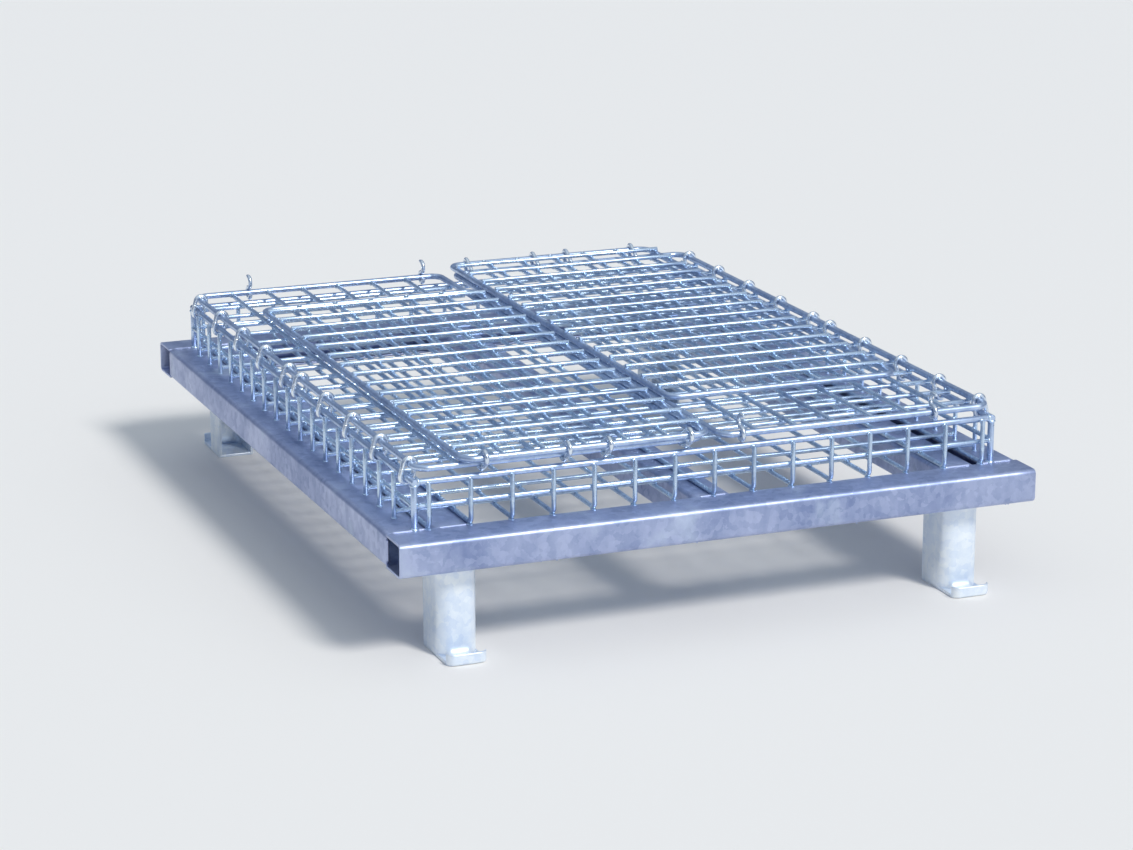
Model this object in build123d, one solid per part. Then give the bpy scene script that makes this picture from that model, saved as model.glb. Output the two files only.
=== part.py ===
from build123d import *
from math import cos, radians, sin
import os

# Folding wire mesh container, shown folded flat.
# Millimetres, +Z up. X is the short side, Y the long side.
# The origin is on the floor, at the centre of the footprint.
#
# A steel base on four legs carries a mesh deck with a low mesh kerb. A mesh wall hinges on each
# long side of the kerb and folds inward. An end gate hinges on one end of each wall, and lies
# folded back on that wall's outer face. Swing hooks on the other end of each wall hold the
# opposite gate shut once both walls stand.

# ---- Driving dimensions -------------------------------------------------------------------

BASE_WIDTH = 800.0
BASE_LENGTH = 1000.0
LEG_HEIGHT = 110.0
BEAM_HEIGHT = 40.0
BEAM_DEPTH = 48.0
BEAM_SHEET = 3.0
KERB_HEIGHT = 55.0

MESH_PITCH = 50.0
WIRE = 5.6
ROD = 8.0

# Centre line of the long side hinge rods, and of the rails on the short sides.
ROD_INSET = 35.0
RAIL_INSET = 50.0

LEG_WIDTH = 48.0
LEG_DEPTH = 55.0
LEG_SHEET = 4.0
LEG_BEND = 15.0
LEG_CORNER_INSET = 56.0
TOE_LENGTH = 30.0
TOE_LIP = 14.0

FLOOR_CHANNEL_WIDTH = 48.0

# ---- Clearances ---------------------------------------------------------------------------

LINK_PLAY = 0.5
WALL_LIFT = 1.4
PANEL_GAP = 1.0
CENTRE_GAP = 7.0

# ---- Levels and lines worked out from them ------------------------------------------------

WIRE_R = WIRE / 2
ROD_R = ROD / 2
BEAM_TOP = LEG_HEIGHT + BEAM_HEIGHT
HINGE_Z = BEAM_TOP + KERB_HEIGHT
HINGE_X = BASE_WIDTH / 2 - ROD_INSET
RAIL_Y = BASE_LENGTH / 2 - RAIL_INSET

# A wall's layers, measured from its hinge axis along its outward normal.
WALL_UPRIGHT_W = ROD_R + WALL_LIFT + WIRE_R
WALL_CONTACT_W = WALL_UPRIGHT_W + WIRE_R
WALL_LEVEL_W = WALL_CONTACT_W + WIRE_R
WALL_FRAME_W = WALL_CONTACT_W + ROD_R
WALL_FOOT = ROD_R
WALL_CELLS = int((HINGE_X - CENTRE_GAP - ROD) // MESH_PITCH)
WALL_TOP = WALL_FOOT + WALL_CELLS * MESH_PITCH
GATE_FOOT = WALL_FOOT + MESH_PITCH

# A gate's layers, measured from its hinge axis towards its inner face.
GATE_LEVEL_N = ROD_R - WIRE_R
GATE_UPRIGHT_N = ROD_R + WIRE_R
GATE_AXIS_Z = HINGE_Z + WALL_FRAME_W + ROD + PANEL_GAP
GATE_AXIS_Y = -(RAIL_Y + ROD_R + PANEL_GAP + ROD_R + WIRE)
GATE_REACH = 2 * HINGE_X + (GATE_AXIS_Z - HINGE_Z) + WALL_FRAME_W

LINK_R = ROD_R + LINK_PLAY + WIRE_R


# ---- Small tools --------------------------------------------------------------------------

def rod(start, end, radius):
    """A straight round bar from start to end."""
    path = Vector(*end) - Vector(*start)
    plane = Plane(origin=start, z_dir=path)
    return plane * Cylinder(radius, path.length, align=(Align.CENTER, Align.CENTER, Align.MIN))


def bars_along_x(x_from, x_to, places, radius):
    """Bars along X, one at each (y, z) place."""
    return [rod((x_from, y, z), (x_to, y, z), radius) for y, z in places]


def bars_along_y(y_from, y_to, places, radius):
    """Bars along Y, one at each (x, z) place."""
    return [rod((x, y_from, z), (x, y_to, z), radius) for x, z in places]


def pitches(half_span, pitch):
    """Places at whole pitches either side of zero, within half_span."""
    count = int(half_span // pitch)
    return [pitch * step for step in range(-count, count + 1)]


def mid_pitches(half_span, pitch, every):
    """Places half a pitch off the wires, every so many pitches, within half_span."""
    places = [pitch * (step + 0.5) for step in range(int(half_span // pitch))]
    kept = places[::every]
    return sorted([-place for place in kept] + kept)


def link(tight, loose, plane):
    """A closed wire link in a plane: snug on the rod at tight, free to turn on the one at loose."""
    start = Vector(*tight)
    end = Vector(*loose)
    start = start + (end - start).normalized() * LINK_PLAY
    side = plane.z_dir.cross(end - start).normalized() * LINK_R
    tip_in = start - (end - start).normalized() * LINK_R
    tip_out = end + (end - start).normalized() * LINK_R
    path = Wire([
        Edge.make_line(start + side, end + side),
        Edge.make_three_point_arc(end + side, tip_out, end - side),
        Edge.make_line(end - side, start - side),
        Edge.make_three_point_arc(start - side, tip_in, start + side),
    ])
    section = Plane(origin=path @ 0, z_dir=path % 0) * Circle(WIRE_R)
    return sweep(section, path=path)


def channel(length, height, depth, sheet):
    """A channel along X, centred: its web on the -Y side, its flanges towards +Y."""
    outer = Box(length, depth, height, align=(Align.CENTER, Align.MIN, Align.MIN))
    outer = fillet(outer.edges().filter_by(Axis.X).group_by(Axis.Y)[0], 2 * sheet)
    inner = Pos(0, sheet, sheet) * Box(
        length, depth, height - 2 * sheet, align=(Align.CENTER, Align.MIN, Align.MIN)
    )
    inner = fillet(inner.edges().filter_by(Axis.X).group_by(Axis.Y)[0], sheet)
    return outer - inner


def turned(shapes):
    """The same pieces turned half a turn about Z, for the opposite side."""
    return [Rot(0, 0, 180) * shape for shape in shapes]


def save(name, shapes):
    """Write one node: one solid, or a group of separate ones."""
    group = shapes if isinstance(shapes, list) else [shapes]
    export_step(Compound(children=group), "parts/" + name + ".step")


# ---- Base ---------------------------------------------------------------------------------

def end_beam():
    """The front beam: it runs the full width and its ends are open."""
    return Pos(0, -BASE_LENGTH / 2, LEG_HEIGHT) * channel(BASE_WIDTH, BEAM_HEIGHT, BEAM_DEPTH, BEAM_SHEET)


def side_beam():
    """The left beam, between the two end beams."""
    beam = channel(BASE_LENGTH - 2 * BEAM_DEPTH, BEAM_HEIGHT, BEAM_DEPTH, BEAM_SHEET)
    return Pos(-BASE_WIDTH / 2, 0, LEG_HEIGHT) * Rot(0, 0, -90) * beam


def floor_channel(x):
    """An upturned channel under the deck, from end beam to end beam."""
    length = BASE_LENGTH - 2 * BEAM_DEPTH
    outer = Box(FLOOR_CHANNEL_WIDTH, length, BEAM_HEIGHT, align=(Align.CENTER, Align.CENTER, Align.MIN))
    outer = fillet(outer.edges().filter_by(Axis.Y).group_by(Axis.Z)[-1], 2 * BEAM_SHEET)
    inner = Box(
        FLOOR_CHANNEL_WIDTH - 2 * BEAM_SHEET,
        length,
        BEAM_HEIGHT - BEAM_SHEET,
        align=(Align.CENTER, Align.CENTER, Align.MIN),
    )
    return Pos(x, 0, LEG_HEIGHT) * (outer - inner)


def leg():
    """One pressed leg at the front left: a U column open inward, with a toe turned out and up."""
    web_y = -BASE_LENGTH / 2 + TOE_LENGTH
    column = Box(LEG_WIDTH, LEG_DEPTH, LEG_HEIGHT, align=(Align.CENTER, Align.MIN, Align.MIN))
    column = fillet(column.edges().filter_by(Axis.Z).group_by(Axis.Y)[0], LEG_BEND)
    hollow = Pos(0, LEG_SHEET, LEG_SHEET) * Box(
        LEG_WIDTH - 2 * LEG_SHEET, LEG_DEPTH, LEG_HEIGHT, align=(Align.CENTER, Align.MIN, Align.MIN)
    )
    hollow = fillet(hollow.edges().filter_by(Axis.Z).group_by(Axis.Y)[0], LEG_BEND - LEG_SHEET)
    toe_profile = make_face(Polyline([
        (LEG_BEND, 0),
        (LEG_BEND, LEG_SHEET),
        (LEG_SHEET - TOE_LENGTH, LEG_SHEET),
        (LEG_SHEET - TOE_LENGTH, TOE_LIP),
        (-TOE_LENGTH, TOE_LIP),
        (-TOE_LENGTH, 0),
    ], close=True))
    toe_profile = Plane(origin=(0, 0, 0), x_dir=(0, 1, 0), z_dir=(1, 0, 0)) * toe_profile
    toe = Pos(-LEG_WIDTH / 2, 0, 0) * extrude(toe_profile, LEG_WIDTH, dir=(1, 0, 0))
    heel = toe.edges().filter_by(Axis.X).sort_by_distance((0, -TOE_LENGTH, 0))[0]
    toe = fillet(heel, LEG_SHEET + 1)
    leg_x = -BASE_WIDTH / 2 + LEG_CORNER_INSET + LEG_WIDTH / 2
    return Pos(leg_x, web_y, 0) * (column - hollow + toe)


def build_base():
    front = end_beam()
    left = side_beam()
    save("front_beam", front)
    save("rear_beam", turned([front]))
    save("left_beam", left)
    save("right_beam", turned([left]))

    leg_x = BASE_WIDTH / 2 - LEG_CORNER_INSET - LEG_WIDTH / 2
    save("floor_channel_left", floor_channel(-leg_x))
    save("floor_channel_centre", floor_channel(0))
    save("floor_channel_right", floor_channel(leg_x))

    front_left = leg()
    front_right = mirror(front_left, Plane.YZ)
    save("leg_front_left", front_left)
    save("leg_front_right", front_right)
    save("leg_rear_right", turned([front_left]))
    save("leg_rear_left", turned([front_right]))


# ---- Deck and kerb ------------------------------------------------------------------------

def build_deck_and_kerb():
    end_upright_y = RAIL_Y + ROD_R + WIRE_R
    side_upright_x = HINGE_X + ROD_R + WIRE_R
    wires_x = pitches(HINGE_X - ROD, MESH_PITCH)
    wires_y = pitches(RAIL_Y - ROD, MESH_PITCH)

    # The deck: long wires on the beams, cross wires on top of them.
    deck_y = end_upright_y - WIRE_R
    deck_x = side_upright_x - WIRE_R
    long_z = BEAM_TOP + WIRE_R
    cross_z = long_z + WIRE
    save("deck_long_wires", bars_along_y(-deck_y, deck_y, [(x, long_z) for x in wires_x], WIRE_R))
    save("deck_cross_wires", bars_along_x(-deck_x, deck_x, [(y, cross_z) for y in wires_y], WIRE_R))

    # The kerb: the same wires turned up at the edges, with one level wire inside them.
    level_z = BEAM_TOP + KERB_HEIGHT / 2
    end_uprights = []
    side_uprights = []
    for side in (-1, 1):
        for x in wires_x:
            end_uprights.append(
                rod((x, side * end_upright_y, BEAM_TOP), (x, side * end_upright_y, HINGE_Z), WIRE_R)
            )
        for y in wires_y:
            side_uprights.append(
                rod((side * side_upright_x, y, BEAM_TOP), (side * side_upright_x, y, HINGE_Z), WIRE_R)
            )
    save("kerb_end_uprights", end_uprights)
    save("kerb_side_uprights", side_uprights)

    level_y = end_upright_y - WIRE
    level_x = side_upright_x - WIRE
    end_places = [(-level_y, level_z), (level_y, level_z)]
    side_places = [(-level_x, level_z), (level_x, level_z)]
    save("kerb_end_level_wires", bars_along_x(-HINGE_X + ROD_R, HINGE_X - ROD_R, end_places, WIRE_R))
    save("kerb_side_level_wires", bars_along_y(-RAIL_Y + ROD_R, RAIL_Y - ROD_R, side_places, WIRE_R))

    posts = [
        rod((x, y, BEAM_TOP), (x, y, HINGE_Z - ROD_R), ROD_R)
        for x in (-HINGE_X, HINGE_X)
        for y in (-RAIL_Y, RAIL_Y)
    ]
    rail_end = HINGE_X - ROD_R
    rail_places = [(-RAIL_Y, HINGE_Z), (RAIL_Y, HINGE_Z)]
    rod_end = RAIL_Y + ROD_R
    save("kerb_corner_posts", posts)
    save("kerb_end_rails", bars_along_x(-rail_end, rail_end, rail_places, ROD_R))
    save("hinge_rod_left", rod((-HINGE_X, -rod_end, HINGE_Z), (-HINGE_X, rod_end, HINGE_Z), ROD_R))
    save("hinge_rod_right", rod((HINGE_X, -rod_end, HINGE_Z), (HINGE_X, rod_end, HINGE_Z), ROD_R))


# ---- Walls, gates and hooks ---------------------------------------------------------------
# Each is built for the left wall, lying flat at rest: its height runs along +X from the hinge
# rod, its length along Y, and its outer face is up.

def wall_x(height):
    """The X of a place at this height on the left wall."""
    return -HINGE_X + height


def gate_y(reach):
    """The Y of a place this far from the hinge axis on the front gate, folded back."""
    return GATE_AXIS_Y + reach


def wall_pieces():
    """The left wall: mesh inside, a frame of heavier bar outside, and its hinge links."""
    level_heights = [WALL_FOOT + MESH_PITCH * step for step in range(1, WALL_CELLS)]
    upright_z = HINGE_Z + WALL_UPRIGHT_W
    level_z = HINGE_Z + WALL_LEVEL_W
    frame_z = HINGE_Z + WALL_FRAME_W
    wire_end = WALL_TOP + ROD_R / 2
    uprights = [(y, upright_z) for y in pitches(RAIL_Y - ROD, MESH_PITCH)]
    levels = [(wall_x(height), level_z) for height in level_heights]
    rails = [(wall_x(height), frame_z) for height in (WALL_FOOT, WALL_TOP)]
    stiles = [(-RAIL_Y, frame_z), (RAIL_Y, frame_z)]
    hinge_links = [
        link((wall_x(WALL_FOOT), y, frame_z), (-HINGE_X, y, HINGE_Z), Plane.XZ)
        for y in mid_pitches(RAIL_Y, MESH_PITCH, 2)
    ]
    gate_links = [
        link((wall_x(height), -RAIL_Y, frame_z), (wall_x(height), GATE_AXIS_Y, GATE_AXIS_Z), Plane.YZ)
        for height in corner_heights()
    ]
    return {
        "upright_wires": bars_along_x(wall_x(WALL_FOOT / 2), wall_x(wire_end), uprights, WIRE_R),
        "level_wires": bars_along_y(-RAIL_Y + ROD_R, RAIL_Y - ROD_R, levels, WIRE_R),
        "rails": bars_along_y(-RAIL_Y - ROD_R, RAIL_Y + ROD_R, rails, ROD_R),
        "stiles": bars_along_x(wall_x(WALL_FOOT + ROD_R), wall_x(WALL_TOP - ROD_R), stiles, ROD_R),
        "hinge_links": hinge_links,
        "gate_links": gate_links,
    }


def corner_heights():
    """Heights of the gate's hinge links, half a pitch off the level wires, alike from both ends."""
    half = MESH_PITCH / 2
    low = GATE_FOOT + half
    high = WALL_TOP - half
    inner = 2 * MESH_PITCH
    return [low, low + inner, high - inner, high]


def gate_pieces():
    """The front gate, folded back over the left wall with its inner face up."""
    level_heights = [GATE_FOOT + MESH_PITCH * step for step in range(1, WALL_CELLS - 1)]
    middle_reach = GATE_REACH / 2
    upright_reaches = [middle_reach + place for place in pitches(HINGE_X - ROD, MESH_PITCH)]
    level_z = GATE_AXIS_Z + GATE_LEVEL_N
    upright_z = GATE_AXIS_Z + GATE_UPRIGHT_N
    uprights = [(gate_y(reach), upright_z) for reach in upright_reaches]
    levels = [(wall_x(height), level_z) for height in level_heights]
    rails = [(wall_x(height), GATE_AXIS_Z) for height in (GATE_FOOT, WALL_TOP)]
    butt_from = gate_y(ROD_R)
    butt_to = gate_y(GATE_REACH - ROD_R)
    stile_from = wall_x(GATE_FOOT - ROD_R)
    stile_to = wall_x(WALL_TOP + ROD_R)
    wire_from = wall_x(GATE_FOOT - ROD_R / 2)
    wire_to = wall_x(WALL_TOP + ROD_R / 2)
    return {
        "upright_wires": bars_along_x(wire_from, wire_to, uprights, WIRE_R),
        "level_wires": bars_along_y(butt_from, butt_to, levels, WIRE_R),
        "rails": bars_along_y(butt_from, butt_to, rails, ROD_R),
        "hinge_rod": bars_along_x(stile_from, stile_to, [(gate_y(0), GATE_AXIS_Z)], ROD_R),
        "stile": bars_along_x(stile_from, stile_to, [(gate_y(GATE_REACH), GATE_AXIS_Z)], ROD_R),
    }


def swing_hook(height):
    """A bent wire hook on the left wall's rear stile: an eye round the stile, an open jaw above."""
    x = wall_x(height)
    eye_z = HINGE_Z + WALL_FRAME_W
    jaw_z = eye_z + 2 * LINK_R
    neck = (x, RAIL_Y, eye_z + LINK_R)
    jaw_end = (x, RAIL_Y, jaw_z + LINK_R)
    eye_start = (x, RAIL_Y - LINK_R, eye_z)
    eye_middle = (x, RAIL_Y + LINK_R * sin(radians(45)), eye_z - LINK_R * cos(radians(45)))
    path = Wire([
        Edge.make_three_point_arc(eye_start, eye_middle, neck),
        Edge.make_three_point_arc(neck, (x, RAIL_Y - LINK_R, jaw_z), jaw_end),
        Edge.make_line(jaw_end, (x, RAIL_Y + LINK_R, jaw_z + LINK_R)),
    ])
    section = Plane(origin=path @ 0, z_dir=path % 0) * Circle(WIRE_R)
    return sweep(section, path=path)


def build_folding_parts():
    for name, pieces in wall_pieces().items():
        save("left_wall_" + name, pieces)
        save("right_wall_" + name, turned(pieces))
    for name, pieces in gate_pieces().items():
        save("front_gate_" + name, pieces)
        save("rear_gate_" + name, turned(pieces))
    heights = corner_heights()
    for name, height in (("lower", heights[0]), ("upper", heights[-1])):
        hook = swing_hook(height)
        save("rear_hook_" + name, hook)
        save("front_hook_" + name, turned([hook]))


os.makedirs("parts", exist_ok=True)
build_base()
build_deck_and_kerb()
build_folding_parts()
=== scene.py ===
import math
import random

import bmesh
import bpy
from mathutils import Matrix, Vector


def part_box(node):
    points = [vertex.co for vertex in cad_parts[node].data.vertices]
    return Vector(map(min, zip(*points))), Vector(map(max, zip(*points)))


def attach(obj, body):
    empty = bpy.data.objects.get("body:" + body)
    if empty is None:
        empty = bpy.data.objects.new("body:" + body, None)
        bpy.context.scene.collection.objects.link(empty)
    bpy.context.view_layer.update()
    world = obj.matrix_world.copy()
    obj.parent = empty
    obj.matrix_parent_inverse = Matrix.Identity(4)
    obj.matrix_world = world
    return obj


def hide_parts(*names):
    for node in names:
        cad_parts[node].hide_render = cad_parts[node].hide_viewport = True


# A folding wire mesh container of galvanised steel, folded flat.
# The CAD frame gives the place and the outer size of every node. Each bar, beam and leg is built
# again here with bent corners, resistance welds, weld beads, pressed feet and zinc. What a node's
# box can't tell, such as a sheet's thickness or the radius of a bend, is named below.

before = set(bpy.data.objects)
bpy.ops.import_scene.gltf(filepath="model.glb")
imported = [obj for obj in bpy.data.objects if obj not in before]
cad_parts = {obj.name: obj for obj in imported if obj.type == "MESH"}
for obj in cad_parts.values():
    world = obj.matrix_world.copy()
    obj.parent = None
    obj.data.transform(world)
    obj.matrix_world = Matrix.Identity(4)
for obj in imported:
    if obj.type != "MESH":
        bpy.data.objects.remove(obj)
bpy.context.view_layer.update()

MM = 0.001
X, Y, Z = range(3)

# Bars: facets round them, how far a wire strays from straight and how far apart its points are.
WIRE_SIDES = 14
ROD_SIDES = 18
WIRE_BOW = 0.35 * MM
WIRE_STEP = 60 * MM

# The cut end of a bar: shares of its bevel and of its radius. The bevel is a share of the radius.
CUT_BEVEL = 0.25
CUT_EDGE = ((0.0, 0.72), (0.35, 0.92), (1.0, 1.0))

# Sheet: its thicknesses, and the rounding of its cut edges.
BEAM_SHEET = 3 * MM
LEG_SHEET = 4 * MM
SHEET_TIP = 1.2 * MM

# Radii of bends, on the line of a bar or the outer face of a sheet.
DECK_BEND = 7 * MM
FRAME_BEND = 16 * MM
LEG_BEND = 15 * MM

# The leg's toe: its rounded corners, the web's flare above it, its length and its raised lip.
TOE_ROUND = 9 * MM
TOE_FLARE = 11 * MM
TOE_LENGTH = 30 * MM
TOE_LIP = 14 * MM

# Play of a link or a hook on the bar that it turns on.
LINK_PLAY = 0.5 * MM

# Bars this near are welded: past each other's ends, and from surface to surface.
WELD_REACH = 1 * MM
WELD_GAP = 0.5 * MM

# Welds: a hand-laid bead and its ripples, then shares of a bar's radius for the squeezed flash at
# a crossing, its thickness, how near a wire's end it may lie, and the collars.
BEAD = 2.2 * MM
RIPPLE = 2.6 * MM
FLASH = 1.1
FLASH_THICKNESS = 0.55
FLASH_END = 0.7
BUTT_COLLAR = 0.36
POST_COLLAR = 0.45
SEAM_COLLAR = 0.12
LINK_COLLAR = 0.2

# Along a weld collar: shares of its half length and of its rise.
COLLAR_PROFILE = ((-1.0, -0.25), (-0.55, 0.65), (0.0, 1.0), (0.5, 0.75), (1.0, -0.25))
COLLAR_LENGTH = 1.5

DRIPS_PER_BEAM = 9
DRIP_END_GAP = 20 * MM


# ---- Reading the frame --------------------------------------------------------------------

class Bar:
    """One straight round bar of a CAD node: its ends, its radius and its direction."""

    def __init__(self, low, high):
        size = high - low
        self.axis = max(range(3), key=lambda i: size[i])
        across = [i for i in range(3) if i != self.axis]
        self.radius = (size[across[0]] + size[across[1]]) / 4
        middle = (low + high) / 2
        self.start = middle.copy()
        self.end = middle.copy()
        self.start[self.axis] = low[self.axis]
        self.end[self.axis] = high[self.axis]


def loose_boxes(node):
    """The low and high corner of every separate solid of a CAD node."""
    bm = bmesh.new()
    bm.from_mesh(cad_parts[node].data)
    bmesh.ops.remove_doubles(bm, verts=bm.verts, dist=1e-6)
    seen = set()
    boxes = []
    for first in bm.verts:
        if first in seen:
            continue
        seen.add(first)
        stack = [first]
        low = first.co.copy()
        high = first.co.copy()
        while stack:
            vert = stack.pop()
            for i in range(3):
                low[i] = min(low[i], vert.co[i])
                high[i] = max(high[i], vert.co[i])
            for edge in vert.link_edges:
                other = edge.other_vert(vert)
                if other not in seen:
                    seen.add(other)
                    stack.append(other)
        boxes.append((low, high))
    bm.free()
    return sorted(boxes, key=lambda box: tuple(box[0]))


def bars(*nodes):
    """Every round bar of the CAD nodes, in order of place."""
    return [Bar(low, high) for node in nodes for low, high in loose_boxes(node)]


def nearest(found, point):
    """The bar whose start is nearest to the point, its own length left out."""
    def gap(bar):
        return math.hypot(*((bar.start - point)[i] for i in range(3) if i != bar.axis))
    return min(found, key=gap)


# ---- Lines --------------------------------------------------------------------------------

def rounded(points, radii, closed=False, step=math.radians(9)):
    """A line through the points with every corner rounded, as a list of points."""
    count = len(points)
    line = []
    for i, point in enumerate(points):
        back = points[i - 1] - point
        ahead = points[(i + 1) % count] - point
        turn = math.pi - back.angle(ahead)
        if turn < math.radians(3) or (not closed and i in (0, count - 1)):
            line.append(point.copy())
            continue
        back.normalize()
        ahead.normalize()
        radius = radii[i] if isinstance(radii, (list, tuple)) else radii
        reach = radius * math.tan(turn / 2)
        centre = point + (back + ahead).normalized() * (radius / math.cos(turn / 2))
        start = point + back * reach - centre
        axis = back.cross(ahead).normalized()
        steps = max(2, round(turn / step))
        for k in range(steps + 1):
            line.append(centre + Matrix.Rotation(-turn * k / steps, 3, axis) @ start)
    return line


def divided(start, end, longest):
    """Points from start to end, no further apart than longest."""
    count = max(1, math.ceil((end - start).length / longest))
    return [start.lerp(end, k / count) for k in range(count + 1)]


def resampled(line, spacing):
    """Points at even steps along a line of points."""
    lengths = [0.0]
    for near, far in zip(line, line[1:]):
        lengths.append(lengths[-1] + (far - near).length)
    count = max(2, math.ceil(lengths[-1] / spacing))
    result = []
    i = 0
    for k in range(count + 1):
        at = lengths[-1] * k / count
        while i < len(line) - 2 and lengths[i + 1] < at:
            i += 1
        share = (at - lengths[i]) / (lengths[i + 1] - lengths[i])
        result.append(line[i].lerp(line[i + 1], min(1.0, share)))
    return result


def arc(centre, arm, axis, angle, steps):
    """Points on an arc: the arm, carried round the axis through the angle."""
    return [centre + Matrix.Rotation(angle * k / steps, 3, axis) @ arm for k in range(steps + 1)]


def wavy(bar, rng, bow):
    """The line of a bar that is a little out of straight, as drawn wire is."""
    line = divided(bar.start, bar.end, WIRE_STEP)
    across = [i for i in range(3) if i != bar.axis]
    for point in line[1:-1]:
        for i in across:
            point[i] += rng.uniform(-bow, bow)
    return line


# ---- Mesh tools ---------------------------------------------------------------------------

def skin(bm, rings, closed=False):
    """Faces between rings of equal count, and a flat face on each open end."""
    count = len(rings[0])
    pairs = list(zip(rings, rings[1:]))
    if closed:
        pairs.append((rings[-1], best_turn(rings[-1], rings[0])))
    for near, far in pairs:
        for k in range(count):
            bm.faces.new((near[k], near[(k + 1) % count], far[(k + 1) % count], far[k]))
    if not closed:
        bm.faces.new(list(reversed(rings[0])))
        bm.faces.new(rings[-1])


def best_turn(last, first):
    """The first ring, turned so that it meets the last ring with the least twist."""
    count = len(first)
    start = min(range(count), key=lambda t: (first[t].co - last[0].co).length)
    return [first[(start + k) % count] for k in range(count)]


def add_tube(bm, line, radius, sides, closed=False, widths=None):
    """A round bar along a line of points. An open one ends in a slightly rounded cut."""
    stations = list(zip(line, widths or [1.0] * len(line)))
    if not closed:
        bevel = CUT_BEVEL * radius
        first = (line[1] - line[0]).normalized() * bevel
        last = (line[-2] - line[-1]).normalized() * bevel
        near = stations[0][1]
        far = stations[-1][1]
        head = [(line[0] + first * reach, width * near) for reach, width in CUT_EDGE]
        tail = [(line[-1] + last * reach, width * far) for reach, width in reversed(CUT_EDGE)]
        stations = head + stations[1:-1] + tail
    count = len(stations)
    centres = [point for point, _ in stations]
    normal = None
    rings = []
    for i in range(count):
        if closed:
            along = centres[(i + 1) % count] - centres[i - 1]
        else:
            along = centres[min(i + 1, count - 1)] - centres[max(i - 1, 0)]
        along.normalize()
        if normal is None:
            normal = along.orthogonal().normalized()
        normal = (normal - along * normal.dot(along)).normalized()
        side = along.cross(normal)
        size = radius * stations[i][1]
        ring = []
        for k in range(sides):
            angle = math.tau * k / sides
            offset = (normal * math.cos(angle) + side * math.sin(angle)) * size
            ring.append(bm.verts.new(centres[i] + offset))
        rings.append(ring)
    skin(bm, rings, closed)


def add_blob(bm, centre, radii, rows=5, sides=10):
    """A squashed ball, for the flash of a resistance weld."""
    rings = []
    for row in range(1, rows):
        polar = math.pi * row / rows
        ring = []
        for k in range(sides):
            angle = math.tau * k / sides
            offset = (
                radii[X] * math.sin(polar) * math.cos(angle),
                radii[Y] * math.sin(polar) * math.sin(angle),
                radii[Z] * math.cos(polar),
            )
            ring.append(bm.verts.new(centre + Vector(offset)))
        rings.append(ring)
    top = bm.verts.new(centre + Vector((0, 0, radii[Z])))
    bottom = bm.verts.new(centre - Vector((0, 0, radii[Z])))
    for near, far in zip(rings, rings[1:]):
        for k in range(sides):
            bm.faces.new((near[k], far[k], far[(k + 1) % sides], near[(k + 1) % sides]))
    for k in range(sides):
        bm.faces.new((top, rings[0][k], rings[0][(k + 1) % sides]))
        bm.faces.new((bottom, rings[-1][(k + 1) % sides], rings[-1][k]))


def add_collar(bm, centre, along, radius, rise, rng, sides=14):
    """A lumpy ring of weld metal round a bar, where it meets the side of another."""
    along = along.normalized()
    normal = along.orthogonal().normalized()
    side = along.cross(normal)
    lumps = [rng.uniform(0.7, 1.15) for _ in range(sides)]
    rings = []
    for share, bulge in COLLAR_PROFILE:
        ring = []
        for k in range(sides):
            angle = math.tau * k / sides
            lump = (lumps[k] + lumps[k - 1]) / 2
            size = radius + rise * bulge * lump
            offset = (normal * math.cos(angle) + side * math.sin(angle)) * size
            ring.append(bm.verts.new(centre + along * (share * COLLAR_LENGTH * rise) + offset))
        rings.append(ring)
    skin(bm, rings)


def add_bead(bm, line, radius, sides=8):
    """A hand-laid weld bead: a low ridge whose ripples follow each other along the line."""
    points = resampled(line, RIPPLE / 3)
    count = len(points) - 1
    widths = []
    for i in range(count + 1):
        share = i / count
        fade = min(1.0, 10 * min(share, 1 - share) + 0.4)
        widths.append(fade * (1 + 0.2 * abs(math.sin(math.pi * i / 3))))
    add_tube(bm, points, radius / 1.2, sides, widths=widths)


def inset(profile, by):
    """A closed flat profile, run anticlockwise, drawn in from its edge."""
    result = []
    for i, point in enumerate(profile):
        ahead = profile[(i + 1) % len(profile)] - profile[i - 1]
        outward = Vector((ahead.y, -ahead.x, 0)).normalized()
        result.append(point - outward * by)
    return result


def add_extrusion(bm, profile, length, place, longest=25 * MM, bevel=0.6 * MM):
    """A closed profile carried along a length, with eased ends. place turns (u, v, along) into a point."""
    stations = [(0.0, bevel), (0.3 * bevel, 0.3 * bevel), (bevel, 0.0)]
    run = divided(Vector((bevel, 0, 0)), Vector((length - bevel, 0, 0)), longest)
    stations += [(point.x, 0.0) for point in run[1:-1]]
    stations += [(length - bevel, 0.0), (length - 0.3 * bevel, 0.3 * bevel), (length, bevel)]
    rings = []
    for along, drawn_in in stations:
        ring = [bm.verts.new(place(point.x, point.y, along)) for point in inset(profile, drawn_in)]
        rings.append(ring)
    skin(bm, rings)


def united(first, second):
    """One closed mesh from two that overlap."""
    holders = []
    for bm in (first, second):
        bmesh.ops.recalc_face_normals(bm, faces=bm.faces)
        mesh = bpy.data.meshes.new("joining")
        bm.to_mesh(mesh)
        bm.free()
        holder = bpy.data.objects.new("joining", mesh)
        bpy.context.scene.collection.objects.link(holder)
        holders.append(holder)
    join = holders[0].modifiers.new("join", "BOOLEAN")
    join.operation = "UNION"
    join.solver = "EXACT"
    join.object = holders[1]
    whole = holders[0].evaluated_get(bpy.context.evaluated_depsgraph_get())
    result = bmesh.new()
    result.from_mesh(whole.to_mesh())
    whole.to_mesh_clear()
    for holder in holders:
        bpy.data.meshes.remove(holder.data)
    return result


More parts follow.
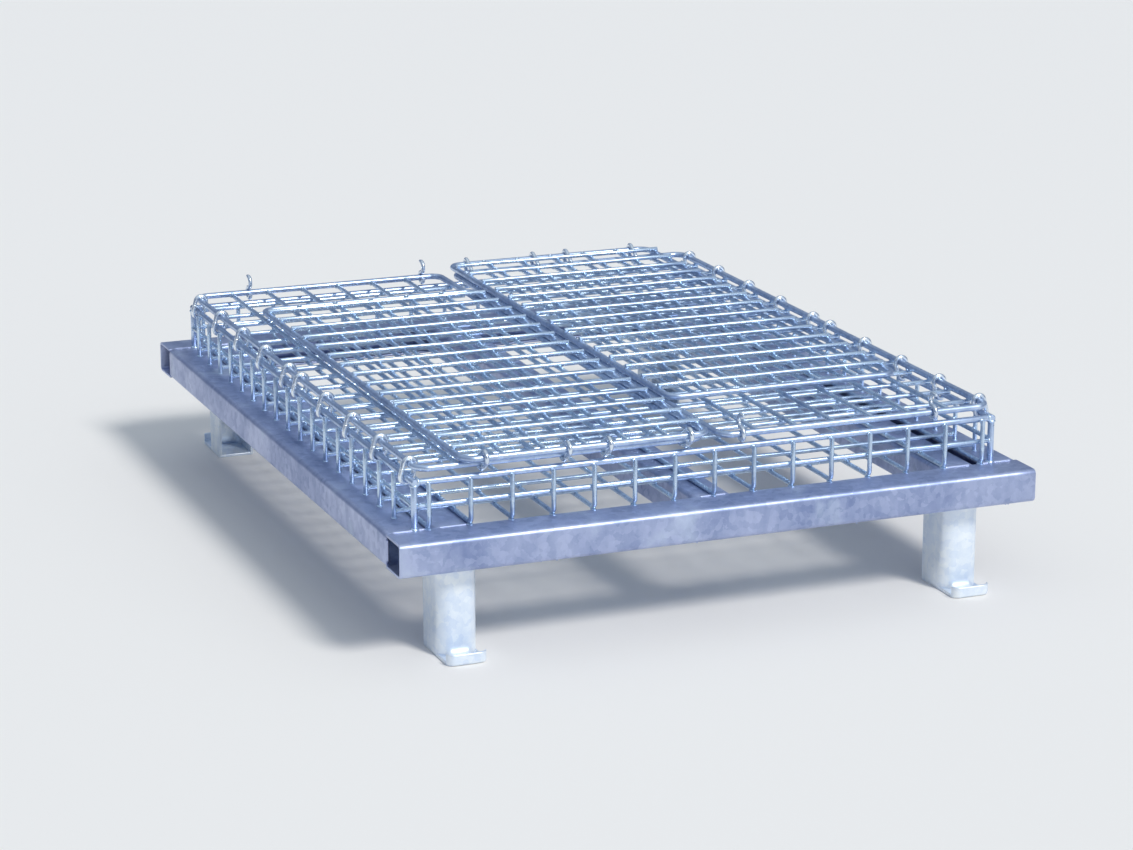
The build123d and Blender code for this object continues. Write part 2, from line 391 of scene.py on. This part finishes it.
def piece_from(bm, name, body, slot, nodes=(), sharp=math.radians(40), finish=None):
    """Makes the finished object: smooth shading, its body, the material of its finish or else of its slot,
    and the nodes it stands for hidden.
    """
    bmesh.ops.recalc_face_normals(bm, faces=bm.faces)
    mesh = bpy.data.meshes.new(name)
    bm.to_mesh(mesh)
    bm.free()
    mesh.shade_smooth()
    mesh.set_sharp_from_angle(angle=sharp)
    mesh.materials.append(material(finish or slot))
    piece = bpy.data.objects.new(name, mesh)
    bpy.context.scene.collection.objects.link(piece)
    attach(piece, body)
    if nodes:
        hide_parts(*nodes)
    return piece


# ---- Materials ----------------------------------------------------------------------------

FINISHES = {
    # finish: bright zinc, dull zinc, metallic, roughness from and to, spangle size, bump height
    "galvanised_sheet": ((0.47, 0.53, 0.74), (0.20, 0.26, 0.46), 0.80, 0.32, 0.52, 8 * MM, 0.10 * MM),
    # Painted highlight: the legs take the sheet's zinc made near white, standing in for the light that falls
    # on their webs.
    "legs_zinc_painted_highlight": ((0.93, 0.98, 1.00), (0.60, 0.71, 0.88), 0.45, 0.28, 0.42, 8 * MM, 0.10 * MM),
    "galvanised_wire": ((0.62, 0.76, 0.92), (0.18, 0.27, 0.46), 0.88, 0.22, 0.40, 5 * MM, 0.025 * MM),
    "galvanised_rod": ((0.54, 0.66, 0.86), (0.19, 0.27, 0.46), 0.86, 0.24, 0.42, 6 * MM, 0.03 * MM),
    "zinc_plated_hooks": ((0.82, 0.89, 0.96), (0.48, 0.58, 0.76), 0.90, 0.18, 0.32, 3 * MM, 0.02 * MM),
}
STAIN = (0.66, 0.75, 0.86)

# How fine each pattern of the zinc is: the scale of its noise, in features to a metre or so.
CLOUD_SCALE = 9.0
PATCH_SCALE = 17.0
RUN_SCALE = 75.0
SCUFF_SCALE = 300.0
SPECK_SCALE = 420.0

made = {}


class Graph:
    """Short names for adding nodes to a material and joining them."""

    def __init__(self, tree):
        self.tree = tree

    def add(self, kind, **inputs):
        node = self.tree.nodes.new("ShaderNode" + kind)
        for name, value in inputs.items():
            self.join(value, node.inputs[name.replace("_", " ")])
        return node

    def join(self, value, socket):
        if isinstance(value, bpy.types.NodeSocket):
            self.tree.links.new(value, socket)
        else:
            socket.default_value = value

    def math(self, operation, *values):
        node = self.tree.nodes.new("ShaderNodeMath")
        node.operation = operation
        for value, socket in zip(values, node.inputs):
            self.join(value, socket)
        return node.outputs["Value"]

    def noise(self, vector, scale, detail):
        return self.add("TexNoise", Vector=vector, Scale=scale, Detail=detail, Roughness=0.6).outputs["Fac"]

    def streaks(self, vector, scale, stretch):
        """A noise drawn out along the axis whose stretch is small."""
        drawn = self.add("Mapping", Vector=vector, Scale=stretch)
        return self.noise(drawn.outputs["Vector"], scale, 3.0)

    def feathered(self, vector, scale, reach):
        """The vector pushed about by a noise, so that what is drawn on it has uneven edges."""
        noise = self.add("TexNoise", Vector=vector, Scale=scale, Detail=5.0, Roughness=0.65)
        node = self.tree.nodes.new("ShaderNodeVectorMath")
        node.operation = "MULTIPLY_ADD"
        for value, socket in zip((noise.outputs["Color"], (reach,) * 3, vector), node.inputs):
            self.join(value, socket)
        return node.outputs["Vector"]

    def between(self, value, low, high, out_low, out_high):
        node = self.add(
            "MapRange", Value=value, From_Min=low, From_Max=high, To_Min=out_low, To_Max=out_high
        )
        return node.outputs["Result"]


def material(finish):
    """One of the finishes: zinc spangle, cloudy patches, runs, stains, scuffs, bright edges and painted
    shade in concave creases.
    """
    if finish in made:
        return made[finish]
    bright, dull, metallic, smooth, rough, spangle_size, height = FINISHES[finish]
    result = bpy.data.materials.new(finish)
    result.use_nodes = True
    shader = result.node_tree.nodes["Principled BSDF"]
    shader.inputs["Metallic"].default_value = metallic
    shader.inputs["Specular IOR Level"].default_value = 0.5
    graph = Graph(result.node_tree)
    place = graph.add("TexCoord").outputs["Object"]

    feathered = graph.feathered(place, 1.1 / spangle_size, 1.2 * spangle_size)
    crystals = graph.add("TexVoronoi", Vector=feathered, Scale=1 / spangle_size, Randomness=1.0)
    grain = graph.add("SeparateColor", Color=crystals.outputs["Color"])
    cloud = graph.noise(place, CLOUD_SCALE, 6.0)
    runs = graph.streaks(place, RUN_SCALE, (1.0, 1.0, 0.12))
    speck = graph.noise(place, SPECK_SCALE, 3.0)
    fold = graph.add("NewGeometry").outputs["Pointiness"]
    edge = graph.between(fold, 0.5, 0.6, 0.0, 0.3)
    # Painted shade: the tone darkens where the surface is concave, in creases and inner folds.
    painted_crevice_shade = graph.between(fold, 0.42, 0.5, -0.3, 0.0)
    scuffs = [
        graph.between(graph.streaks(place, SCUFF_SCALE, stretch), 0.66, 0.74, 0.0, 0.12)
        for stretch in ((0.03, 1.0, 1.0), (1.0, 0.03, 1.0))
    ]

    tone = graph.math("MULTIPLY_ADD", grain.outputs["Red"], 0.17, cloud)
    tone = graph.math("MULTIPLY_ADD", runs, 0.22, tone)
    for mark in (edge, painted_crevice_shade, *scuffs):
        tone = graph.math("ADD", tone, mark)
    ramp = graph.add("ValToRGB", Fac=tone)
    ramp.color_ramp.elements[0].position = 0.42
    ramp.color_ramp.elements[0].color = (*dull, 1)
    ramp.color_ramp.elements[1].position = 0.88
    ramp.color_ramp.elements[1].color = (*bright, 1)

    patch = graph.between(graph.noise(place, PATCH_SCALE, 5.0), 0.56, 0.70, 0.0, 0.45)
    stained = graph.add("Mix", Factor=patch)
    stained.data_type = "RGBA"
    colours = [socket for socket in stained.inputs if socket.type == "RGBA"]
    graph.join(ramp.outputs["Color"], colours[0])
    graph.join((*STAIN, 1), colours[1])
    colour = [socket for socket in stained.outputs if socket.type == "RGBA"][0]
    graph.join(colour, shader.inputs["Base Color"])

    shine = graph.between(tone, 0.45, 1.05, rough, smooth)
    shine = graph.math("MULTIPLY_ADD", patch, 0.35, shine)
    graph.join(shine, shader.inputs["Roughness"])

    relief = graph.math("MULTIPLY_ADD", grain.outputs["Green"], 0.2, speck)
    relief = graph.math("MULTIPLY_ADD", runs, 0.8, relief)
    bump = graph.add("Bump", Strength=0.6, Distance=height, Height=relief)
    graph.join(bump.outputs["Normal"], shader.inputs["Normal"])
    made[finish] = result
    return result


# ---- Bars and their welds -----------------------------------------------------------------

def bar_piece(name, body, slot, node, bow=WIRE_BOW, sides=WIRE_SIDES):
    """All the straight bars of one node."""
    rng = random.Random(name)
    bm = bmesh.new()
    for bar in bars(node):
        add_tube(bm, wavy(bar, rng, bow), bar.radius, sides)
    return piece_from(bm, name, body, slot, (node,))


def crossings(first, second):
    """Where two sets of bars cross and touch: the point, the normal's axis and both radii."""
    found = []
    for a in first:
        for b in second:
            if a.axis == b.axis:
                continue
            normal = 3 - a.axis - b.axis
            if not b.start[b.axis] - WELD_REACH <= a.start[b.axis] <= b.end[b.axis] + WELD_REACH:
                continue
            if not a.start[a.axis] - WELD_REACH <= b.start[a.axis] <= a.end[a.axis] + WELD_REACH:
                continue
            gap = abs(a.start[normal] - b.start[normal]) - a.radius - b.radius
            if abs(gap) > WELD_GAP:
                continue
            point = Vector((0, 0, 0))
            point[a.axis] = b.start[a.axis]
            point[b.axis] = a.start[b.axis]
            share = a.radius / (a.radius + b.radius)
            point[normal] = a.start[normal] + (b.start[normal] - a.start[normal]) * share
            point[a.axis] = min(point[a.axis], a.end[a.axis] - FLASH_END * a.radius)
            point[a.axis] = max(point[a.axis], a.start[a.axis] + FLASH_END * a.radius)
            found.append((point, normal, a.radius, b.radius))
    return found


def butts(first, second):
    """Where a bar of the first set ends on the side of one of the second: the point and the bar."""
    found = []
    for a in first:
        for point in (a.start, a.end):
            for b in second:
                if a.axis == b.axis:
                    continue
                if not b.start[b.axis] - WELD_REACH <= point[b.axis] <= b.end[b.axis] + WELD_REACH:
                    continue
                off = point - b.start
                off[b.axis] = 0
                if off.length <= b.radius + WELD_REACH:
                    found.append((point, a))
                    break
    return found


def weld_piece(name, body, crossed=(), butted=()):
    """The squeezed flash where bars of a pair of nodes cross, and a collar where they butt."""
    rng = random.Random(name)
    bm = bmesh.new()
    for first, second in crossed:
        for point, normal, radius_a, radius_b in crossings(bars(first), bars(second)):
            spread = FLASH * min(radius_a, radius_b)
            radii = [spread * rng.uniform(0.92, 1.08) for _ in range(3)]
            radii[normal] = FLASH_THICKNESS * spread * rng.uniform(0.9, 1.1)
            add_blob(bm, point, radii)
    for first, second in butted:
        for point, bar in butts(bars(first), bars(second)):
            along = bar.end - bar.start
            add_collar(bm, point, along, bar.radius, BUTT_COLLAR * bar.radius, rng)
    return piece_from(bm, name, body, "galvanised_wire")


def loop_piece(name, body, *nodes):
    """A frame bent from rod: the loop through the bars of the nodes, with a butt weld on each side."""
    found = bars(*nodes)
    radius = found[0].radius
    level = found[0].start.z
    xs = sorted(bar.start.x for bar in found if bar.axis == Y)
    ys = sorted(bar.start.y for bar in found if bar.axis == X)
    corners = [(xs[0], ys[0]), (xs[-1], ys[0]), (xs[-1], ys[-1]), (xs[0], ys[-1])]
    line = rounded([Vector((x, y, level)) for x, y in corners], FRAME_BEND, closed=True)
    bm = bmesh.new()
    add_tube(bm, line, radius, ROD_SIDES, closed=True)
    for x in (xs[0], xs[-1]):
        seam = Vector((x, ys[0] + 0.62 * (ys[-1] - ys[0]), level))
        rng = random.Random(name)
        add_collar(bm, seam, Vector((0, 1, 0)), radius, SEAM_COLLAR * radius, rng, ROD_SIDES)
    return piece_from(bm, name, body, "galvanised_rod", nodes)


# ---- Deck and kerb ------------------------------------------------------------------------

def long_wires_piece():
    """Deck wires that run the length of the base and turn up at both ends to make the kerb."""
    rng = random.Random("long wires")
    uprights = bars("kerb_end_uprights")
    bm = bmesh.new()
    for wire in bars("deck_long_wires"):
        mine = [bar for bar in uprights if abs(bar.start.x - wire.start.x) < MM]
        y_front = min(bar.start.y for bar in mine)
        y_rear = max(bar.start.y for bar in mine)
        top = mine[0].end.z
        run = wavy(wire, rng, WIRE_BOW)[1:-1]
        x, z = wire.start.x, wire.start.z
        front = [Vector((x, y_front, top)), Vector((x, y_front, z))]
        rear = [Vector((x, y_rear, z)), Vector((x, y_rear, top))]
        add_tube(bm, rounded(front + run + rear, DECK_BEND), wire.radius, WIRE_SIDES)
    piece_from(
        bm, "deck_long_wires_bent", "base", "galvanised_wire", ("deck_long_wires", "kerb_end_uprights")
    )


def foot_welds_piece():
    """Weld metal where the wires and posts of the kerb stand on the beams."""
    rng = random.Random("foot welds")
    bm = bmesh.new()
    for bar in bars("kerb_side_uprights"):
        size = bar.radius * rng.uniform(1.25, 1.5)
        add_blob(bm, bar.start, (size, size, 0.6 * size))
    for bar in bars("kerb_end_uprights"):
        size = bar.radius * rng.uniform(1.2, 1.4)
        heel = Vector((0, math.copysign(0.55 * DECK_BEND, bar.start.y), 0))
        add_blob(bm, bar.start - heel, (size, 1.5 * size, 0.55 * size))
    for bar in bars("kerb_corner_posts"):
        rise = POST_COLLAR * bar.radius
        add_collar(bm, bar.start, bar.end - bar.start, bar.radius, rise, rng, ROD_SIDES)
    piece_from(bm, "kerb_foot_welds", "base", "galvanised_wire")


def build_deck_and_kerb():
    long_wires_piece()
    foot_welds_piece()
    for node in ("deck_cross_wires", "kerb_side_uprights", "kerb_end_level_wires", "kerb_side_level_wires"):
        bar_piece(node + "_drawn", "base", "galvanised_wire", node)
    for node in ("kerb_corner_posts", "kerb_end_rails", "hinge_rod_left", "hinge_rod_right"):
        bar_piece(node + "_drawn", "base", "galvanised_rod", node, 0.0, ROD_SIDES)
    weld_piece(
        "deck_mesh_welds", "base",
        crossed=(("deck_long_wires", "deck_cross_wires"),),
        butted=(("deck_cross_wires", "kerb_side_uprights"),),
    )
    weld_piece(
        "kerb_mesh_welds", "base",
        crossed=(
            ("kerb_end_uprights", "kerb_end_level_wires"),
            ("kerb_side_uprights", "kerb_side_level_wires"),
            ("kerb_end_uprights", "kerb_end_rails"),
            ("kerb_side_uprights", "hinge_rod_left"),
            ("kerb_side_uprights", "hinge_rod_right"),
        ),
        butted=(
            ("kerb_end_level_wires", "kerb_corner_posts"),
            ("kerb_side_level_wires", "kerb_corner_posts"),
            ("kerb_end_rails", "hinge_rod_left"),
            ("kerb_end_rails", "hinge_rod_right"),
            ("kerb_corner_posts", "hinge_rod_left"),
            ("kerb_corner_posts", "hinge_rod_right"),
        ),
    )


# ---- Beams, channels and legs -------------------------------------------------------------

def flat_profile(corners, radii):
    """A closed flat profile with every corner rounded."""
    return rounded([Vector((u, v, 0)) for u, v in corners], radii, closed=True)


def channel_piece(node, along, depth_axis, web_side):
    """A folded sheet channel that fills a CAD node's box, with its web on one side of it."""
    low, high = (Vector(corner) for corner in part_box(node))
    height_axis = 3 - along - depth_axis
    depth = (high - low)[depth_axis]
    height = (high - low)[height_axis]
    sheet = BEAM_SHEET
    corners = [
        (0, 0), (depth, 0), (depth, sheet), (sheet, sheet),
        (sheet, height - sheet), (depth, height - sheet), (depth, height), (0, height),
    ]
    radii = [2 * sheet, SHEET_TIP, SHEET_TIP, sheet, sheet, SHEET_TIP, SHEET_TIP, 2 * sheet]
    web = high if web_side > 0 else low

    def place(u, v, t):
        point = Vector((0, 0, 0))
        point[depth_axis] = web[depth_axis] - web_side * u
        point[height_axis] = low[height_axis] + v
        point[along] = low[along] + t
        return point

    bm = bmesh.new()
    add_extrusion(bm, flat_profile(corners, radii), (high - low)[along], place)
    return piece_from(bm, node + "_folded", "base", "galvanised_sheet", (node,))


def leg_piece(node):
    """A pressed leg: a U column whose web flares out at the foot into a toe with a raised lip."""
    low, high = (Vector(corner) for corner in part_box(node))
    middle = (low + high) / 2
    outward = -1 if middle.y < 0 else 1
    toe_end = low.y if outward < 0 else high.y
    half = (high.x - low.x) / 2
    height = high.z - low.z
    depth = high.y - low.y - TOE_LENGTH
    sheet = LEG_SHEET

    def at(u, v, z):
        return Vector((middle.x + u, toe_end - outward * (TOE_LENGTH + v), low.z + z))

    def flare(u, z):
        """How far the web leans out just above the toe."""
        drop = min(max(sheet + TOE_FLARE - z, 0.0), TOE_FLARE)
        lean = TOE_FLARE - math.sqrt(TOE_FLARE ** 2 - drop ** 2)
        reach = min(max((half - MM - abs(u)) / (half - LEG_BEND / 2), 0.0), 1.0)
        return lean * reach * reach * (3 - 2 * reach)

    def column_at(u, v, z):
        share = min(max(1 - v / LEG_BEND, 0.0), 1.0)
        return at(u, v - flare(u, z) * share, z)

    column_corners = [
        (-half, depth), (-half, 0), (half, 0), (half, depth),
        (half - sheet, depth), (half - sheet, sheet), (sheet - half, sheet), (sheet - half, depth),
    ]
    inner_bend = LEG_BEND - sheet
    column_radii = [
        SHEET_TIP, LEG_BEND, LEG_BEND, SHEET_TIP, SHEET_TIP, inner_bend, inner_bend, SHEET_TIP,
    ]
    profile = flat_profile(column_corners, column_radii)
    foot = 1.5 * MM
    column = bmesh.new()
    add_extrusion(column, profile, height - foot, lambda u, v, t: column_at(u, v, foot + t), 2.5 * MM)

    ease = 0.4 * MM
    width = half - ease
    toe_corners = [
        (-TOE_LENGTH, 0), (depth - ease, 0), (depth - ease, sheet),
        (sheet - TOE_LENGTH, sheet), (sheet - TOE_LENGTH, TOE_LIP), (-TOE_LENGTH, TOE_LIP),
    ]
    toe_radii = [sheet + MM, SHEET_TIP, SHEET_TIP, MM, 1.5 * MM, 1.5 * MM]

    def toe_at(v, z, t):
        u = t - width
        edge = min(max(abs(u) - width + TOE_ROUND, 0.0), TOE_ROUND)
        back = TOE_ROUND - math.sqrt(TOE_ROUND ** 2 - edge ** 2)
        share = min(max(-v / TOE_LENGTH, 0.0), 1.0)
        return at(u, v + 0.9 * back * share, z)

    sole = bmesh.new()
    add_extrusion(sole, flat_profile(toe_corners, toe_radii), 2 * width, toe_at, 1.5 * MM)

    bm = united(column, sole)
    # The legs' lighter copy of the sheet's zinc is a painted highlight.
    return piece_from(
        bm, node + "_pressed", "base", "galvanised_sheet", (node,), math.radians(32), "legs_zinc_painted_highlight"
    )


def leg_outline(node):
    """The line round the top of a leg's column, from one rear edge to the other."""
    low, high = (Vector(corner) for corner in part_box(node))
    outward = -1 if low.y + high.y < 0 else 1
    web = low.y + TOE_LENGTH if outward < 0 else high.y - TOE_LENGTH
    rear = high.y if outward < 0 else low.y
    corners = [(low.x, rear), (low.x, web), (high.x, web), (high.x, rear)]
    return rounded([Vector((x, y, high.z)) for x, y in corners], LEG_BEND)


def base_beads_piece(legs, side_beams, channels):
    """The beads that join the legs, the side beams and the floor channels to the end beams."""
    bm = bmesh.new()
    for node in legs:
        add_bead(bm, [point - Vector((0, 0, 0.5 * BEAD)) for point in leg_outline(node)], BEAD)
    for node in side_beams:
        low, high = (Vector(corner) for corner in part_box(node))
        outer = low.x if low.x < 0 else high.x
        inner = high.x if low.x < 0 else low.x
        out = math.copysign(1, outer)
        for y in (low.y, high.y):
            level = high.z - 0.25 * BEAD
            start = Vector((outer - out * 3 * BEAD, y, level))
            add_bead(bm, [start, Vector((inner, y, level))], BEAD)
            side = outer - out * BEAD
            add_bead(bm, [Vector((side, y, low.z + 3 * BEAD)), Vector((side, y, high.z - 3 * BEAD))], BEAD)
    for node in channels:
        low, high = (Vector(corner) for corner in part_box(node))
        for y in (low.y, high.y):
            level = high.z - 0.25 * BEAD
            add_bead(bm, [Vector((low.x + 3 * BEAD, y, level)), Vector((high.x - 3 * BEAD, y, level))], BEAD)
            for x in (low.x, high.x):
                add_bead(bm, [Vector((x, y, low.z + 2 * BEAD)), Vector((x, y, high.z - 4 * BEAD))], BEAD)
    piece_from(bm, "base_weld_beads", "base", "galvanised_sheet")


def drips_piece(beams):
    """Beads of zinc that froze while they ran off the lower folds of the beams after dipping."""
    rng = random.Random("drips")
    bm = bmesh.new()
    for node in beams:
        low, high = (Vector(corner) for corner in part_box(node))
        along = X if high.x - low.x > high.y - low.y else Y
        across = 1 - along
        outer = low[across] if low[across] + high[across] < 0 else high[across]
        for _ in range(DRIPS_PER_BEAM):
            point = Vector((0, 0, low.z + 0.3 * MM))
            point[along] = rng.uniform(low[along] + DRIP_END_GAP, high[along] - DRIP_END_GAP)
            point[across] = outer - math.copysign(rng.uniform(5, 9) * MM, outer)
            size = rng.uniform(1.1, 1.8) * MM
            add_blob(bm, point, (size, size, rng.uniform(1.2, 2.0) * size))
    piece_from(bm, "zinc_drips", "base", "galvanised_sheet")


def build_base():
    legs = ["leg_" + end + "_" + side for end in ("front", "rear") for side in ("left", "right")]
    channels = ["floor_channel_" + place for place in ("left", "centre", "right")]
    channel_piece("front_beam", X, Y, -1)
    channel_piece("rear_beam", X, Y, 1)
    channel_piece("left_beam", Y, X, -1)
    channel_piece("right_beam", Y, X, 1)
    for node in channels:
        channel_piece(node, Y, Z, 1)
    for node in legs:
        leg_piece(node)
    base_beads_piece(legs, ("left_beam", "right_beam"), channels)
    drips_piece(("front_beam", "rear_beam", "left_beam", "right_beam"))


# ---- Walls, gates, links and hooks --------------------------------------------------------

def link_piece(node, body, tight_bars, loose_bars):
    """Closed wire links, each tacked to the bar it is tight on and turning on the other one."""
    rng = random.Random(node)
    bm = bmesh.new()
    for low, high in loose_boxes(node):
        size = high - low
        thin = min(range(3), key=lambda i: size[i])
        middle = (low + high) / 2
        wire = size[thin] / 2
        tight_bar = nearest(tight_bars, middle)
        loose_bar = nearest(loose_bars, middle)
        tight = tight_bar.start.copy()
        loose = loose_bar.start.copy()
        tight[thin] = middle[thin]
        loose[thin] = middle[thin]
        along = (loose - tight).normalized()
        start = tight + along * LINK_PLAY
        reach = loose_bar.radius + LINK_PLAY + wire
        axis = Vector((0, 0, 0))
        axis[thin] = 1
        side = axis.cross(along) * reach
        line = arc(loose, side, axis, -math.pi, 14) + arc(start, -side, axis, -math.pi, 14)
        add_tube(bm, line, wire, WIRE_SIDES, closed=True)
        add_collar(bm, (start + loose) / 2 + side, along, wire, LINK_COLLAR * wire, rng)
        tack = wire * 1.35
        add_blob(bm, tight - along * (tight_bar.radius + 0.3 * wire), (tack, tack, tack))
    return piece_from(bm, node + "_bent", body, "zinc_plated_hooks", (node,))


def hook_piece(node, body, stiles):
    """A swing hook bent from wire: an eye round the stile, a half-round jaw and a tapered tip."""
    low, high = (Vector(corner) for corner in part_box(node))
    middle = (low + high) / 2
    stile = nearest(stiles, Vector((middle.x, middle.y, low.z)))
    wire = (high.x - low.x) / 2
    reach = stile.radius + LINK_PLAY + wire
    out = math.copysign(1, stile.start.y)
    axis = Vector((out, 0, 0))
    eye = Vector((middle.x, stile.start.y, stile.start.z))
    jaw = eye + Vector((0, 0, 2 * reach))
    line = arc(eye, Vector((0, -out * reach, 0)), axis, math.radians(270), 24)
    line += arc(jaw, Vector((0, 0, -reach)), axis, -math.pi, 18)[1:]
    tip = jaw + Vector((0, out * reach, reach))
    run = divided(line[-1], tip, 1.2 * MM)[1:]
    line += run
    widths = [1.0] * (len(line) - len(run))
    widths += [1 - 0.42 * ((k + 1) / len(run)) ** 1.6 for k in range(len(run))]
    bm = bmesh.new()
    add_tube(bm, line, wire, WIRE_SIDES, widths=widths)
    return piece_from(bm, node + "_bent", body, "zinc_plated_hooks", (node,))


def build_panel(panel, frame_nodes):
    """A mesh panel: its two layers of wire, its bent frame and the welds between them."""
    uprights = panel + "_upright_wires"
    levels = panel + "_level_wires"
    for node in (uprights, levels):
        bar_piece(node + "_drawn", panel, "galvanised_wire", node)
    loop_piece(panel + "_frame", panel, *(panel + "_" + node for node in frame_nodes))
    sides = [panel + "_" + node for node in frame_nodes if node != "rails"]
    weld_piece(
        panel + "_mesh_welds", panel,
        crossed=((uprights, levels), (uprights, panel + "_rails"), *((levels, side) for side in sides)),
        butted=tuple((levels, side) for side in sides),
    )


def build_folding_parts():
    for wall, gate, rod, hooks in (
        ("left_wall", "front_gate", "hinge_rod_left", "rear_hook"),
        ("right_wall", "rear_gate", "hinge_rod_right", "front_hook"),
    ):
        build_panel(wall, ("rails", "stiles"))
        build_panel(gate, ("rails", "hinge_rod", "stile"))
        stiles = bars(wall + "_stiles")
        link_piece(wall + "_hinge_links", wall, bars(wall + "_rails"), bars(rod))
        link_piece(wall + "_gate_links", wall, stiles, bars(gate + "_hinge_rod"))
        for place in ("_lower", "_upper"):
            hook_piece(hooks + place, hooks + place, stiles)


# ---- Floor, light and camera --------------------------------------------------------------

def build_floor():
    mesh = bpy.data.meshes.new("floor")
    size = 40.0
    corners = [(-size, -size, 0), (size, -size, 0), (size, size, 0), (-size, size, 0)]
    mesh.from_pydata(corners, [], [(0, 1, 2, 3)])
    floor = bpy.data.objects.new("floor", mesh)
    bpy.context.scene.collection.objects.link(floor)
    paint = bpy.data.materials.new("pale_floor")
    paint.use_nodes = True
    shader = paint.node_tree.nodes["Principled BSDF"]
    shader.inputs["Base Color"].default_value = (0.88, 0.85, 0.81, 1)
    shader.inputs["Roughness"].default_value = 0.9
    mesh.materials.append(paint)


def aimed(name, data, place, target):
    lamp = bpy.data.objects.new(name, data)
    lamp.location = place
    lamp.rotation_euler = (Vector(target) - Vector(place)).to_track_quat("-Z", "Y").to_euler()
    bpy.context.scene.collection.objects.link(lamp)


def build_light():
    sun = bpy.data.lights.new("key", "SUN")
    sun.energy = 2.1
    sun.angle = math.radians(14)
    sun.color = (1.0, 0.99, 0.97)
    aimed("key", sun, (1.1, -3.0, 3.2), (0, 0, 0))
    fill = bpy.data.lights.new("fill", "SUN")
    fill.energy = 0.45
    fill.angle = math.radians(60)
    fill.color = (0.90, 0.96, 1.0)
    aimed("fill", fill, (1.6, -5.2, 1.8), (0, 0, 0))

    world = bpy.data.worlds.new("studio")
    world.use_nodes = True
    tree = world.node_tree
    graph = Graph(tree)
    height = graph.add("SeparateXYZ", Vector=graph.add("TexCoord").outputs["Generated"]).outputs["Z"]
    sky = graph.add("ValToRGB", Fac=height)
    sky.color_ramp.elements[0].position = 0.0
    sky.color_ramp.elements[0].color = (0.14, 0.19, 0.32, 1)
    sky.color_ramp.elements[1].position = 0.85
    sky.color_ramp.elements[1].color = (0.80, 0.90, 1.0, 1)
    middle = sky.color_ramp.elements.new(0.35)
    middle.color = (0.26, 0.34, 0.50, 1)
    seen = graph.add("LightPath").outputs["Is Camera Ray"]
    around = tree.nodes["Background"]
    graph.join(sky.outputs["Color"], around.inputs["Color"])
    around.inputs["Strength"].default_value = 0.68
    backdrop = graph.add("Background", Color=(0.84, 0.87, 0.90, 1), Strength=1.0)
    both = graph.add("MixShader", Fac=seen)
    tree.links.new(around.outputs["Background"], both.inputs[1])
    tree.links.new(backdrop.outputs["Background"], both.inputs[2])
    tree.links.new(both.outputs["Shader"], tree.nodes["World Output"].inputs["Surface"])
    bpy.context.scene.world = world


def build_camera():
    azimuth = math.radians(-22)
    elevation = math.radians(15.5)
    distance = 4.2
    target = Vector((0, 0, 0.118))
    away = Vector((
        math.sin(azimuth) * math.cos(elevation),
        -math.cos(azimuth) * math.cos(elevation),
        math.sin(elevation),
    ))
    data = bpy.data.cameras.new("camera")
    data.lens = 104
    data.sensor_width = 36
    data.clip_end = 100
    camera = bpy.data.objects.new("camera", data)
    camera.location = target + away * distance
    camera.rotation_euler = (-away).to_track_quat("-Z", "Y").to_euler()
    bpy.context.scene.collection.objects.link(camera)
    bpy.context.scene.camera = camera


build_base()
build_deck_and_kerb()
build_folding_parts()
build_floor()
build_light()
build_camera()
bpy.context.scene.view_settings.view_transform = "Standard"
